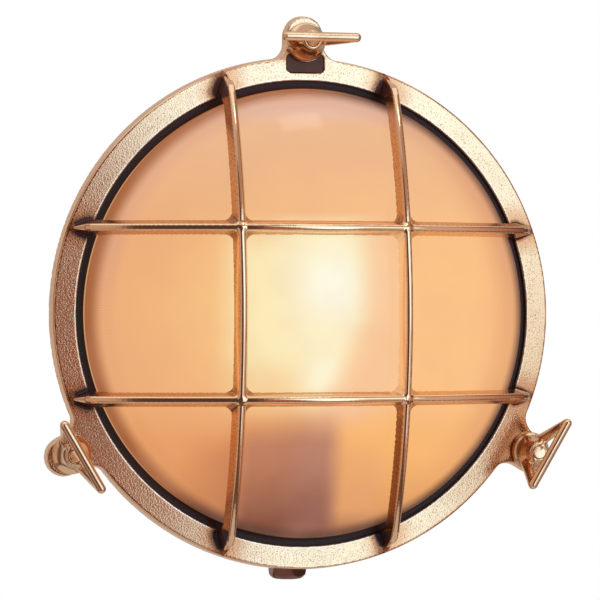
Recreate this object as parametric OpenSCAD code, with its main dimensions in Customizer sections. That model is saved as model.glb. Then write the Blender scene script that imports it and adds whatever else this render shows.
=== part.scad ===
// Round cast bulkhead light with a guard cage, for a wall.
// Millimetres. The wall is the plane Y = 0, the light faces -Y, and +Z is up.
// The origin is on the wall, on the light's own axis.

/* [Front casting] */
// Outer radius of the ring at its front face
ring_r = 120; // [119:0.5:121]
// Radius of the round opening in the ring
ring_in_r = 110; // [109.5:0.25:110.5]
// Distance from the wall to the ring's front face
face_h = 62; // [60:0.5:66]
// Thickness of the ring
ring_t = 7.5; // [7:0.5:8]

/* [Cage] */
// Distance of each bar's centreline from the light's centre
bar_off = 39.6; // [38:0.2:42]
// Height of the bars' ridge above the ring's face, at the middle
bar_rise = 40; // [38:0.5:42]
// Radius that the ridge is bent to
bar_bend_r = 247; // [240:1:255]
// Width of the narrow front edge of a bar
bar_front_w = 2.8; // [2.4:0.1:3.4]
// Width of the back of a bar
bar_back_w = 7; // [6:0.25:7.5]
// Depth of a bar, front to back
bar_depth = 6.6; // [6:0.2:7]

/* [Glass] */
// Outer radius of the glass where it comes through the ring
glass_r = 106; // [105.5:0.25:106.5]
// Height of the top of the dome above the ring's face
glass_rise = 32.5; // [30:0.5:33]
// Radius of the dome's face
glass_face_r = 240; // [230:1:250]
// Radius of the rounded shoulder
glass_shoulder_r = 8; // [6:0.5:9]
// Thickness of the glass
glass_t = 4; // [3:0.25:4.5]

/* [Fastenings] */
// Distance of the top stud above the centre
stud_top_z = 128.2; // [127.5:0.1:130]
// Distance of the left stud to the side of the centre
stud_left_x = 112.3; // [111.8:0.1:112.6]
// Distance of the left stud below the centre
stud_left_z = 65.2; // [64.8:0.1:66]
// Distance of the right stud to the side of the centre
stud_right_x = 111.9; // [111.4:0.1:112.4]
// Distance of the right stud below the centre
stud_right_z = 66.4; // [65.8:0.1:67]
// Radius of the studs
stud_r = 3; // [2.5:0.5:3]
// Half the length of a wing nut's cross-bar
wing_half = 19; // [17:0.1:19.4]
// Height of a wing nut, from its foot to the front of the cross-bar
wing_h = 30.4; // [28:0.2:31]

/* [Back casting] */
// Outer radius of the back casting at the wall
base_back_r = 100; // [98:1:102]
// Outer radius of the back casting's bowl under its rim
base_front_r = 113.5; // [113:0.5:114]
// Wall thickness of the back casting
base_t = 4; // [3.5:0.25:4.5]
// Radius of the circle of wall screws
wall_screw_r = 80; // [78:0.5:82]
// Radius of each wall screw hole
wall_hole_r = 2.75; // [2.5:0.25:3]

/* [Lamp] */
// Distance of the lamp's axis from the wall
lamp_h = 41; // [40:0.5:42]
// Height of the lamp's end contact, from the centre
lamp_foot_z = -66; // [-67:0.5:-65]

/* [Cable entry] */
// Distance of the cable entry's axis from the wall
gland_h = 28; // [27:0.5:29]
// Bore of the cable entry
gland_bore_r = 4.6; // [4.4:0.1:4.8]

/* [Hidden] */
gap = 0.3;
back_h = face_h - ring_t;              // back of the ring
joint_h = back_h - gap;                // front of the back casting's rim
rim_t = 6;                             // thickness of that rim
lip_t = 2;                             // thickness of the ring over the gasket
seat_r = 114;                          // gasket's outer radius
flange_r = 111;                        // glass flange's outer radius
ridge_c = face_h + bar_rise - bar_bend_r;
dome_c = face_h + glass_rise - glass_face_r;
studs = [[0, stud_top_z], [-stud_left_x, -stud_left_z], [stud_right_x, -stud_right_z]];
wall_dirs = [90, 210, 330];
brass = [0.80, 0.62, 0.36];
dark_brass = [0.62, 0.45, 0.26];
steel = [0.75, 0.75, 0.74];
$fn = 96;

// local z is the height above the wall, local y is up
module from_wall() rotate([90, 0, 0]) children();
function ridge(t) = ridge_c + sqrt(bar_bend_r * bar_bend_r - t * t);
function under(t) = ridge_c + sqrt((bar_bend_r - bar_depth) * (bar_bend_r - bar_depth) - t * t);
function fillet_y(r, w, f) = sqrt((r + f) * (r + f) - (w + f) * (w + f));

// one lug's outline, pointing along +x, joined to a disc of radius r by fillets
module lug_plan(r, reach, w, f) {
    fy = fillet_y(r, w, f);
    translate([reach, 0]) circle(r = w);
    translate([r - 14, -w]) square([reach - r + 14, 2 * w]);
    for (s = [1, -1]) difference() {
        polygon([[r - 12, 0], [fy, s * w], [fy, s * (w + f)],
            [fy * r / (r + f), s * (w + f) * r / (r + f)], [r - 12, s * (w + f) * r / (r + f)]]);
        translate([fy, s * (w + f)]) circle(r = f);
    }
}
module at_studs() for (p = studs) rotate([0, 0, atan2(p[1], p[0])]) translate([norm(p), 0, 0]) children();
// how far each lug's round end is centred beyond its stud
lug_past = [3.7, 2.7, 2.7];
module lugs(r, w, f, z0, t)
    for (i = [0:2]) rotate([0, 0, atan2(studs[i][1], studs[i][0])]) translate([0, 0, z0])
        linear_extrude(height = t) lug_plan(r, norm(studs[i]) + lug_past[i], w, f);

// ---- front casting -------------------------------------------------------
module bar_arc() {
    a = asin(104 / bar_bend_r);
    rotate([0, -90, 0]) rotate([0, 0, -a]) rotate_extrude(angle = 2 * a, $fn = 240)
        polygon([[bar_bend_r, -bar_front_w / 2], [bar_bend_r, bar_front_w / 2],
            [bar_bend_r - bar_depth, bar_back_w / 2], [bar_bend_r - bar_depth, -bar_back_w / 2]]);
}
module bar_end(w, inset)
    translate([-w / 2, 0, 0]) rotate([90, 0, 90]) linear_extrude(height = w)
        polygon([[97, ridge(97) - inset], [103, ridge(103) - inset], [106.3, ridge(106.3) - 0.6 - inset],
            [108.2, face_h + 12.5 - inset], [112.4 - inset / 4, face_h - 1], [103.2, face_h - 1],
            [102.9, face_h + 5], [101.4, face_h + 9.5], [97, under(97)]]);
module bar() {
    translate([0, 0, ridge_c]) bar_arc();
    for (m = [0, 1]) mirror([0, m, 0]) { bar_end(3.2, 0); bar_end(5.2, 2.2); bar_end(6.6, 4.4); }
}
module cage_ring() color(brass) from_wall() difference() {
    union() {
        rotate_extrude($fn = 180) polygon([[seat_r, back_h], [ring_r + 1.6, back_h], [ring_r + 1.4, back_h + 4],
            [ring_r + 0.9, face_h - 1.6], [ring_r, face_h - 0.6], [ring_r - 1.2, face_h],
            [ring_in_r + 0.6, face_h], [ring_in_r, face_h - 0.6], [ring_in_r, face_h - lip_t], [seat_r, face_h - lip_t]]);
        difference() {
            union() {
                lugs(ring_r, 8.6, 10, face_h - 3.5, 3.5);
                lugs(ring_r + 1.4, 9.5, 10, back_h, 4.1);
            }
            translate([0, 0, back_h - 1]) cylinder(r = ring_r - 2, h = ring_t + 2, $fn = 180);
        }
        for (s = [1, -1]) {
            translate([s * bar_off, 0, 0]) bar();
            rotate([0, 0, 90]) translate([s * bar_off, 0, 0]) bar();
        }
    }
    at_studs() translate([0, 0, back_h - 1]) cylinder(r = stud_r + 0.3, h = ring_t + 3);
    // plain recessed panel under the top lug
    translate([-9.2, 113.9, face_h - 0.8]) linear_extrude(height = 3) {
        translate([2.4, 0]) square([13.6, 8.7]);
        translate([0, 2.4]) square([18.4, 3.9]);
        for (p = [[2.4, 2.4], [16, 2.4], [2.4, 6.3], [16, 6.3]]) translate(p) circle(r = 2.4, $fn = 32);
    }
}

// ---- glass and its gasket ------------------------------------------------
function dome_pts(r, s, e, n) = let (zc = dome_c + sqrt((r - s) * (r - s) - (e - s) * (e - s)), a = asin((e - s) / (r - s))) concat(
    [for (i = [0:n]) let (t = a * i / n) [r * sin(t), dome_c + r * cos(t)]],
    [for (i = [1:n]) let (t = a + (90 - a) * i / n) [e - s + s * sin(t), zc + s * cos(t)]]);
function rev(l) = [for (i = [len(l) - 1:-1:0]) l[i]];
module glass_dome() color([0.93, 0.78, 0.62]) from_wall() rotate_extrude($fn = 180) polygon(concat(
    dome_pts(glass_face_r, glass_shoulder_r, glass_r, 10),
    [[glass_r, 57.2], [flange_r, 57.2], [flange_r, 53.6], [glass_r - glass_t, 53.6]],
    rev(dome_pts(glass_face_r - glass_t, glass_shoulder_r - glass_t, glass_r - glass_t, 10))));
module glass_gasket() color([0.12, 0.11, 0.11]) from_wall() rotate_extrude($fn = 180)
    polygon([[glass_r, face_h - lip_t], [seat_r, face_h - lip_t], [seat_r, 50.9], [104.2, 50.9], [104.2, 53.6],
        [flange_r, 53.6], [flange_r, 57.2], [glass_r, 57.2]]);

// ---- fastenings ----------------------------------------------------------
module stud(i) color(brass) from_wall() translate([studs[i][0], studs[i][1], 0]) {
    translate([0, 0, 44.8]) cylinder(r = stud_r, h = 31.9);
    translate([0, 0, 76.7]) cylinder(r1 = stud_r, r2 = stud_r - 0.6, h = 0.6);
}
module washer(i) color(brass) from_wall() translate([studs[i][0], studs[i][1], face_h + 0.1])
    difference() {
        cylinder(r = 9.25, h = 1.2);
        translate([0, 0, -1]) cylinder(r = stud_r + 0.05, h = 4);
    }
// closed loop in a plane through the axis
module wing_plan() {
    h = wing_h;
    difference() {
        polygon([[-8.4, 1], [8.4, 1], [wing_half - 0.7, h - 4.6], [wing_half, h - 2.6], [wing_half - 0.4, h - 0.9], [wing_half - 1.6, h],
            [-wing_half + 1.6, h], [-wing_half + 0.4, h - 0.9], [-wing_half, h - 2.6], [-wing_half + 0.7, h - 4.6]]);
        polygon([[-6.2, 12], [6.2, 12], [13.1, h - 5], [12.4, h - 3.8], [-12.4, h - 3.8], [-13.1, h - 5]]);
    }
}
module wing_nut(i) color(brass) from_wall() translate([studs[i][0], studs[i][1], face_h + 1.4])
    rotate([0, 0, atan2(studs[i][1], studs[i][0])]) difference() {
        union() {
            rotate_extrude() polygon([[0, 0], [8.9, 0], [9.25, 0.35], [9.25, 1.2], [9.0, 1.7], [8.1, 2.5], [7.2, 3.8], [6.5, 5.4],
                [6.0, 7.0], [5.6, 8.6], [5.3, 9.4], [4.8, 9.75], [4.6, 10.1], [4.8, 10.5], [4.8, 11.9], [4.4, 12.4], [0, 12.4]]);
            rotate([90, 0, 90]) translate([0, 0, -2.2]) linear_extrude(height = 4.4) wing_plan();
        }
        translate([0, 0, -1]) cylinder(r = stud_r + 0.05, h = 16);
    }

// ---- back casting --------------------------------------------------------
module back_casting() color(dark_brass) from_wall() difference() {
    union() {
        difference() {
            union() {
                rotate_extrude($fn = 180) polygon([[0, 0], [base_back_r, 0], [base_back_r + 1.2, 1.2],
                    [base_front_r, joint_h - rim_t], [ring_r - 0.8, joint_h - rim_t], [ring_r, joint_h - rim_t + 0.8], [ring_r, joint_h], [0, joint_h]]);
                difference() {
                    lugs(ring_r - 0.6, 7.9, 10, joint_h - rim_t, rim_t);
                    translate([0, 0, 44]) cylinder(r = ring_r - 3, h = 14, $fn = 180);
                }
                at_studs() translate([0, 0, 44.3]) cylinder(r = 6.4, h = 6);
                // boss for the cable entry
                translate([0, -98, gland_h]) rotate([90, 0, 0]) cylinder(r = 11.5, h = 14.2);
            }
            // the hollow, with a seat for the gasket at its mouth
            rotate_extrude($fn = 180) polygon([[0, base_t], [base_back_r - base_t - 1.4, base_t], [base_back_r - base_t + 0.6, base_t + 2],
                [109.3, joint_h - rim_t - 2.4], [109.3, 50.6], [seat_r + 0.4, 50.6], [seat_r + 0.4, joint_h + 1], [0, joint_h + 1]]);
        }
        for (a = wall_dirs) rotate([0, 0, a]) translate([wall_screw_r, 0, base_t - 1]) cylinder(r = 7, h = 3);
        // pads for the lampholder bracket, the terminal block and the earth screw
        for (s = [1, -1]) translate([s * 14, -68, base_t - 1]) cylinder(r = 5, h = 3);
        for (s = [1, -1]) translate([62, 14 + s * 5, base_t - 1]) cylinder(r = 4.5, h = 3);
        translate([-46, -62, base_t - 1]) cylinder(r = 5.5, h = 5);
    }
    for (a = wall_dirs) rotate([0, 0, a]) translate([wall_screw_r, 0, -1]) cylinder(r = wall_hole_r, h = 12);
    at_studs() translate([0, 0, 43]) cylinder(r = stud_r, h = 14);
    translate([0, -90, gland_h]) rotate([90, 0, 0]) cylinder(r = 7.05, h = 30);
    for (s = [1, -1]) translate([s * 14, -68, 2]) cylinder(r = 2.05, h = 6);
    for (s = [1, -1]) translate([62, 14 + s * 5, 2]) cylinder(r = 1.55, h = 6);
    translate([-46, -62, 2.5]) cylinder(r = 2.05, h = 8);
}

// ---- lamp and lampholder -------------------------------------------------
module on_lamp(z) translate([0, z, lamp_h]) rotate([-90, 0, 0]) children();
module lampholder_bracket() color(steel) from_wall() difference() {
    union() {
        translate([-21, -86, 6]) cube([42, 27, 2]);
        translate([-21, -86, 6]) cube([42, 2, 54]);
    }
    for (s = [1, -1]) translate([s * 14, -68, 5]) cylinder(r = 2.25, h = 4);
    for (s = [1, -1]) translate([s * 15, -83, lamp_h]) rotate([90, 0, 0]) cylinder(r = 2.25, h = 4);
    translate([0, -83, lamp_h]) rotate([90, 0, 0]) cylinder(r = 5, h = 4);
}
// pan-head screw along +z, head under side at z = 0, shank down
module screw(r, l, head_r, head_h) difference() {
    union() {
        translate([0, 0, -l]) cylinder(r = r, h = l + 0.1, $fn = 32);
        cylinder(r1 = head_r, r2 = head_r * 0.82, h = head_h, $fn = 40);
    }
    translate([-head_r - 1, -0.5, head_h - 1]) cube([2 * head_r + 2, 1, 2]);
}
module bracket_screws() color(steel) from_wall()
    for (s = [1, -1]) translate([s * 14, -68, 8]) screw(2, 5.6, 3.8, 2.4);
module lampholder_body() color([0.93, 0.92, 0.88]) from_wall() on_lamp(-84) difference() {
    rotate_extrude() polygon([[0, 0], [20.5, 0], [21.5, 1], [21.5, 14], [23.5, 17], [23.5, 42.5], [22, 44], [17.5, 44], [17, 43.4],
        [17, 40], [14.4, 39], [14.4, 15], [0, 15]]);
    for (s = [1, -1]) translate([s * 15, 0, -1]) cylinder(r = 2.05, h = 9);
    // two wiring wells in the foot
    for (s = [1, -1]) translate([s * 9 - 3, 7, 3]) cube([6, 17, 9]);
}
module lampholder_shell() color([0.83, 0.72, 0.45]) from_wall() on_lamp(-84) difference() {
    union() {
        rotate_extrude() polygon([[6, 15], [14.3, 15], [14.3, 39], [13.5, 39], [13.5, 15.8], [6, 15.8]]);
        for (i = [0:4]) translate([0, 0, 18.5 + i * 3.6]) rotate_extrude() translate([13.55, 0]) circle(r = 0.4, $fn = 16);
    }
}
module lampholder_contact() color([0.83, 0.72, 0.45]) from_wall() on_lamp(-84) {
    translate([-3, -4, 15]) cube([6, 8, 1.4]);
    translate([0, 0, 16.4]) cylinder(r = 2.4, h = 1.6);
}
module lampholder_screws() color(steel) from_wall()
    for (s = [1, -1]) translate([s * 15, -86, lamp_h]) rotate([90, 0, 0]) screw(2, 8, 3.6, 2.2);
module bulb() color([0.98, 0.96, 0.90]) from_wall() on_lamp(lamp_foot_z) rotate_extrude()
    polygon(concat([[0, 0], [4.6, 0], [5.2, 1], [5.2, 2.6], [9.5, 4.2], [12.9, 5.4], [12.9, 25.5], [13.6, 27.5], [13.7, 30], [14.2, 34]],
        [[15.6, 40], [18.6, 46.5], [22.4, 53]],
        [for (i = [0:11]) let (a = -38 + 128 * i / 12) [30 * cos(a), 76 + 30 * sin(a)]], [[0, 106]]));

// ---- wiring --------------------------------------------------------------
module terminal_block() color([0.93, 0.93, 0.9]) from_wall() difference() {
    union() {
        translate([54, 0, 6]) cube([16, 28, 4]);
        translate([55.5, -1, 10]) cube([13, 30, 11]);
    }
    for (i = [0:2]) translate([50, 4 + i * 10, 15]) rotate([0, 90, 0]) cylinder(r = 2.35, h = 26);
    for (i = [0:2]) translate([62, 4 + i * 10, 17]) cylinder(r = 2, h = 6);
    for (s = [1, -1]) translate([62, 14 + s * 5, 5]) cylinder(r = 1.8, h = 6);
    for (s = [1, -1]) translate([62, 14 + s * 5, 8]) cylinder(r = 2.6, h = 16);
}
module terminal_clamps() color(brass) from_wall()
    for (i = [0:2]) difference() {
        translate([57.5, 4 + i * 10, 15]) rotate([0, 90, 0]) cylinder(r = 2.3, h = 9);
        translate([56, 4 + i * 10, 15]) rotate([0, 90, 0]) cylinder(r = 1.5, h = 12);
        translate([62, 4 + i * 10, 15]) cylinder(r = 1.45, h = 6);
    }
module terminal_screws() color(steel) from_wall()
    for (i = [0:2]) translate([62, 4 + i * 10, 19.3]) screw(1.4, 3.2, 1.9, 1.3);
module block_screws() color(steel) from_wall()
    for (s = [1, -1]) translate([62, 14 + s * 5, 8]) screw(1.5, 5.4, 2.4, 1.8);
// round lead along a list of points
function lead_ring(p, d, r, n) = let (w = d / norm(d), u0 = cross(w, [0.31, 0.23, 0.92]), u = u0 / norm(u0), v = cross(w, u))
    [for (i = [0:n - 1]) p + r * (cos(360 * i / n) * u + sin(360 * i / n) * v)];
module lead(pts, r) {
    n = 10;
    m = len(pts);
    rings = [for (i = [0:m - 1]) lead_ring(pts[i], pts[min(i + 1, m - 1)] - pts[max(i - 1, 0)], r, n)];
    polyhedron(points = [for (a = rings) for (p = a) p],
        faces = concat([[for (i = [0:n - 1]) i]], [[for (i = [n - 1:-1:0]) (m - 1) * n + i]],
            [for (j = [0:m - 2]) for (i = [0:n - 1]) [j * n + i, (j + 1) * n + i, (j + 1) * n + (i + 1) % n, j * n + (i + 1) % n]]),
        convexity = 6);
}
module live_lead() color([0.9, 0.88, 0.84]) from_wall()
    lead([[57.2, 4, 15], [53, 4, 15], [49, 2.5, 15.3], [45.6, -2, 16], [43.6, -9, 17], [42.6, -18, 18], [42, -28, 18.5], [41.4, -38, 18.6],
        [40, -48, 18.2], [37, -57, 17.2], [32.6, -65, 16], [27, -71, 15], [20, -75, 14.6], [13.6, -76.5, 15.6], [10.2, -76.6, 18.2], [9, -76.6, 21.5], [9, -76.6, 25]], 1.2);
module neutral_lead() color([0.35, 0.42, 0.55]) from_wall()
    lead([[57.2, 14, 15], [52, 14, 15], [46.5, 12.5, 14.6], [41, 8, 13], [36.4, 0, 11.2], [33.6, -10, 10.2], [31.4, -22, 10], [28.6, -34, 10],
        [24, -45, 10], [17.6, -55, 10], [9, -62.5, 10.4], [1, -68, 11.2], [-5, -72.6, 12.6], [-8.6, -75.6, 15], [-9.2, -76.6, 18.2], [-9, -76.6, 21.5], [-9, -76.6, 25]], 1.2);
module earth_screw() color(brass) from_wall() translate([-46, -62, 8]) {
    difference() { cylinder(r = 5, h = 1, $fn = 48); translate([0, 0, -1]) cylinder(r = 1.9, h = 3, $fn = 32); }
    translate([0, 0, 1]) screw(2, 6, 3.9, 2.6);
}

// ---- cable entry ---------------------------------------------------------
module on_gland(z) translate([0, z, gland_h]) rotate([90, 0, 0]) children();
// hexagon with two corners facing the wall and the front
module hex(af, h) rotate([0, 0, 30]) cylinder(d = af / cos(30), h = h, $fn = 6);
module gland_washer() color([0.15, 0.14, 0.14]) from_wall() on_gland(-112.2) difference() {
    cylinder(r = 10, h = 1);
    translate([0, 0, -1]) cylinder(r = 7.05, h = 3);
}
module gland_body() color(dark_brass) from_wall() on_gland(-100.2) difference() {
    union() {
        cylinder(r = 7, h = 14);
        translate([0, 0, 13]) hex(18, 4);
        cylinder(r = 6.55, h = 23.4);
    }
    translate([0, 0, -1]) cylinder(r = 4.8, h = 30);
    translate([0, 0, 13.4]) cylinder(r = 5.6, h = 20);
}
module gland_seal() color([0.15, 0.14, 0.14]) from_wall() on_gland(-113.6) difference() {
    cylinder(r = 5.6, h = 10);
    translate([0, 0, -1]) cylinder(r = gland_bore_r, h = 20);
}
module gland_nut() color(dark_brass) from_wall() on_gland(-117.4) difference() {
    intersection() {
        hex(16.4, 10.6);
        rotate_extrude() polygon([[0, 0], [9.1, 0], [9.5, 0.6], [9.5, 6.4], [8.9, 8.6], [7.4, 10.1], [6.2, 10.6], [0, 10.6]]);
    }
    translate([0, 0, -1]) cylinder(r = 6.6, h = 7.2);
    translate([0, 0, -1]) cylinder(r = gland_bore_r, h = 20);
}

back_casting();
cage_ring();
glass_dome();
glass_gasket();
stud(0);  // stud_top
stud(1);  // stud_left
stud(2);  // stud_right
washer(0);  // washer_top
washer(1);  // washer_left
washer(2);  // washer_right
wing_nut(0);  // wing_nut_top
wing_nut(1);  // wing_nut_left
wing_nut(2);  // wing_nut_right
lampholder_bracket();
bracket_screws();
lampholder_body();
lampholder_shell();
lampholder_contact();
lampholder_screws();
bulb();
terminal_block();
terminal_clamps();
terminal_screws();
block_screws();
live_lead();
neutral_lead();
earth_screw();
gland_washer();
gland_body();
gland_seal();
gland_nut();
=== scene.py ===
import math
import bpy
import numpy as np
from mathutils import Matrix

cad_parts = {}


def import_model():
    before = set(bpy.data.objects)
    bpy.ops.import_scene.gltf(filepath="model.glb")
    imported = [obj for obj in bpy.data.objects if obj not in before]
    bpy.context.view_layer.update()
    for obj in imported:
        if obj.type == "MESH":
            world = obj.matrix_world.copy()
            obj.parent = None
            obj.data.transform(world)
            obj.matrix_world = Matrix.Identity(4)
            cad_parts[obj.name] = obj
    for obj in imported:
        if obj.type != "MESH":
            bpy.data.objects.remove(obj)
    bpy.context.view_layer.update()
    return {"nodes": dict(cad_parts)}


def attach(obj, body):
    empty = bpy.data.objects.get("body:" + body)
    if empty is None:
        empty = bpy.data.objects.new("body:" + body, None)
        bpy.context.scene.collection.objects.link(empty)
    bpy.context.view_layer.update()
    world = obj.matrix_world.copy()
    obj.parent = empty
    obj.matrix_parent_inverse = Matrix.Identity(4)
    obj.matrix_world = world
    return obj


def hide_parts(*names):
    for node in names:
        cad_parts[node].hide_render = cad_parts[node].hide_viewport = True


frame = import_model()
scene = bpy.context.scene
scene.view_settings.view_transform = "Standard"
scene.view_settings.look = "None"

# Millimetres in the shape code: x to the right, y up, h out of the wall. World = (x, -h, y) / 1000.
FACE_H, BACK_H, JOINT_H = 62.0, 54.5, 54.2
RING_R, RING_IN = 120.0, 110.0
BAR_OFF, BEND_R, BAR_DEPTH = 39.6, 247.0, 6.6
RIDGE_C = 62.0 + 40.0 - BEND_R
DOME_R, DOME_C, GLASS_R, FLANGE_R, GLASS_T = 240.0, 62.0 + 32.5 - 240.0, 106.0, 111.0, 4.0
STUDS = {"top": (0.0, 128.2), "left": (-112.3, -65.2), "right": (111.9, -66.4)}
LUG_PAST = {"top": 3.6, "left": 2.6, "right": 2.6}

# ---------------------------------------------------------------- camera
YAW = math.radians(15.0)
DIST = 1.418
cam_data = bpy.data.cameras.new("camera")
cam = bpy.data.objects.new("camera", cam_data)
scene.collection.objects.link(cam)
cam_data.sensor_width = 36.0
cam_data.lens = 180.0
cam_data.shift_x = -5.4 / 600
cam_data.shift_y = 13.5 / 600
cam_data.clip_start = 0.05
cam_data.clip_end = 50.0
cam.location = (-math.sin(YAW) * DIST, -0.062 - math.cos(YAW) * DIST, 0.0)
cam.rotation_euler = (math.pi / 2, 0.0, -YAW)
scene.camera = cam


# ---------------------------------------------------------------- small numeric tools
def poly_sdf(px, py, poly):
    poly = np.asarray(poly, float)
    d2 = np.full(px.shape, 1e9)
    inside = np.zeros(px.shape, bool)
    for i in range(len(poly)):
        (ax, ay), (bx, by) = poly[i], poly[(i + 1) % len(poly)]
        ex, ey = bx - ax, by - ay
        wx, wy = px - ax, py - ay
        t = np.clip((wx * ex + wy * ey) / (ex * ex + ey * ey + 1e-12), 0, 1)
        d2 = np.minimum(d2, (wx - ex * t) ** 2 + (wy - ey * t) ** 2)
        if abs(ey) > 1e-12:
            inside ^= ((ay > py) != (by > py)) & (px < ex * (py - ay) / ey + ax)
    d = np.sqrt(d2)
    return np.where(inside, -d, d)


class Table:
    """A function of two coordinates, tabled once and read by bilinear interpolation."""

    def __init__(self, x, y, step, fn):
        self.x0, self.y0, self.s = x[0], y[0], step
        self.nx, self.ny = int((x[1] - x[0]) / step) + 2, int((y[1] - y[0]) / step) + 2
        gx, gy = np.meshgrid(x[0] + step * np.arange(self.nx), y[0] + step * np.arange(self.ny), indexing="ij")
        self.v = fn(gx, gy).astype(np.float32)

    def __call__(self, x, y):
        fx, fy = (x - self.x0) / self.s, (y - self.y0) / self.s
        cx, cy = np.clip(fx, 0, self.nx - 1.001), np.clip(fy, 0, self.ny - 1.001)
        i, j = cx.astype(np.int32), cy.astype(np.int32)
        u, v = cx - i, cy - j
        t = self.v
        low = t[i, j] * (1 - u) + t[i + 1, j] * u
        high = t[i, j + 1] * (1 - u) + t[i + 1, j + 1] * u
        return low * (1 - v) + high * v + self.s * np.hypot(fx - cx, fy - cy)


def cut(a, b, r):
    """Intersection with a rounded edge."""
    return np.minimum(-r, np.maximum(a, b)) + np.hypot(np.maximum(a + r, 0), np.maximum(b + r, 0))


def join(a, b, r):
    """Union with a fillet."""
    return np.maximum(r, np.minimum(a, b)) - np.hypot(np.maximum(r - a, 0), np.maximum(r - b, 0))


def step01(x, a, b):
    t = np.clip((x - a) / (b - a), 0, 1)
    return t * t * (3 - 2 * t)


def surface(sdf, lo, hi, step, block=8):
    """Closed quad mesh of the zero level of sdf, by naive surface nets on the blocks near the surface."""
    lo = np.asarray(lo, float)
    n = np.ceil((np.asarray(hi, float) - lo) / (step * block)).astype(int)
    index = np.stack(np.meshgrid(*[np.arange(k) for k in n], indexing="ij"), -1).reshape(-1, 3)
    size = block * step
    near = np.concatenate([np.abs(sdf(lo + (c + 0.5) * size)) for c in np.array_split(index, max(1, len(index) // 400000))])
    blocks = index[near < size * 0.5 * 1.7321 * 1.25 + step]
    local = np.stack(np.meshgrid(*[np.arange(block + 1)] * 3, indexing="ij"), -1)
    corners = np.array([[0, 0, 0], [1, 0, 0], [0, 1, 0], [1, 1, 0], [0, 0, 1], [1, 0, 1], [0, 1, 1], [1, 1, 1]])
    edges = [(0, 1), (2, 3), (4, 5), (6, 7), (0, 2), (1, 3), (4, 6), (5, 7), (0, 4), (1, 5), (2, 6), (3, 7)]
    total = n * block
    verts, keys, quads = [], [], []
    for chunk in np.array_split(blocks, max(1, len(blocks) // 1200)):
        g = chunk[:, None, None, None, :] * block + local
        val = sdf((g * step + lo).reshape(-1, 3)).reshape(g.shape[:-1])
        val = np.where(np.abs(val) < 1e-6, 1e-6, val)
        neg = val < 0
        count = sum(neg[:, c[0]:c[0] + block, c[1]:c[1] + block, c[2]:c[2] + block].astype(np.int8) for c in corners)
        b, i, j, k = np.nonzero((count > 0) & (count < 8))
        cell = chunk[b] * block + np.stack([i, j, k], -1)
        v8 = np.stack([val[b, i + c[0], j + c[1], k + c[2]] for c in corners], -1)
        acc, num = np.zeros((len(b), 3)), np.zeros(len(b))
        for p, q in edges:
            m = (v8[:, p] < 0) != (v8[:, q] < 0)
            t = v8[:, p] / np.where(m, v8[:, p] - v8[:, q], 1)
            acc += np.where(m, 1, 0)[:, None] * (corners[p] + (corners[q] - corners[p]) * t[:, None])
            num += m
        verts.append((cell + acc / num[:, None]) * step + lo)
        key = (cell[:, 0] * total[1] + cell[:, 1]) * total[2] + cell[:, 2]
        keys.append(key)
        for other, da, db in ((1, (0, 1, 0), (0, 0, 1)), (2, (0, 0, 1), (1, 0, 0)), (4, (1, 0, 0), (0, 1, 0))):
            m = (v8[:, 0] < 0) != (v8[:, other] < 0)
            c, out = cell[m], v8[m, 0] < 0
            ka, kb = [(d[0] * total[1] + d[1]) * total[2] + d[2] for d in (da, db)]
            base = key[m]
            q = np.stack([base, base - ka, base - ka - kb, base - kb], -1)
            quads.append(np.where(out[:, None], q, q[:, ::-1]))
    verts, keys, quads = np.concatenate(verts), np.concatenate(keys), np.concatenate(quads)
    order = np.argsort(keys)
    pos = np.searchsorted(keys[order], quads)
    ok = (pos < len(keys)).all(1)
    quads, pos = quads[ok], pos[ok]
    quads = order[pos[(keys[order][pos] == quads).all(1)]]
    for _ in range(2):
        d, grad = slope(sdf, verts)
        verts = verts - grad * np.clip(d, -step * 0.6, step * 0.6)[:, None]
    return verts, quads


def slope(sdf, p, e=0.04):
    d = sdf(p)
    grad = np.stack([sdf(p + e * a) - sdf(p - e * a) for a in np.eye(3)], -1)
    length = np.linalg.norm(grad, axis=1)
    return d, grad / np.maximum(length, 1e-9)[:, None]


def world(p):
    p = np.asarray(p, float)
    return np.stack([p[:, 0], -p[:, 2], p[:, 1]], -1) / 1000.0


def make(name, verts, faces, body, replaces=(), material=None, sharp=None, smooth=True):
    """A mesh object from shape-code millimetres."""
    mesh = bpy.data.meshes.new(name)
    co = world(verts).astype(np.float32)
    faces = [np.asarray(f, np.int32) for f in faces] if isinstance(faces, (list, tuple)) else [np.asarray(faces, np.int32)]
    faces = [f for f in faces if len(f)]
    mesh.vertices.add(len(co))
    mesh.vertices.foreach_set("co", co.ravel())
    loops = np.concatenate([f.ravel() for f in faces]).astype(np.int32)
    sizes = np.concatenate([np.full(len(f), f.shape[1], np.int32) for f in faces])
    mesh.loops.add(len(loops))
    mesh.loops.foreach_set("vertex_index", loops)
    mesh.polygons.add(len(sizes))
    mesh.polygons.foreach_set("loop_start", np.concatenate([[0], np.cumsum(sizes)[:-1]]).astype(np.int32))
    mesh.update(calc_edges=True)
    mesh.validate()
    if smooth:
        mesh.polygons.foreach_set("use_smooth", np.ones(len(mesh.polygons), bool))
        if sharp is not None:
            mesh.set_sharp_from_angle(angle=math.radians(sharp))
    obj = bpy.data.objects.new(name, mesh)
    scene.collection.objects.link(obj)
    if material is not None:
        mesh.materials.append(material)
    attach(obj, body)
    if replaces:
        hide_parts(*replaces)
    return obj


def attribute(obj, name, values):
    a = obj.data.attributes.get(name) or obj.data.attributes.new(name, "FLOAT", "POINT")
    a.data.foreach_set("value", np.asarray(values, np.float32))


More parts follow.
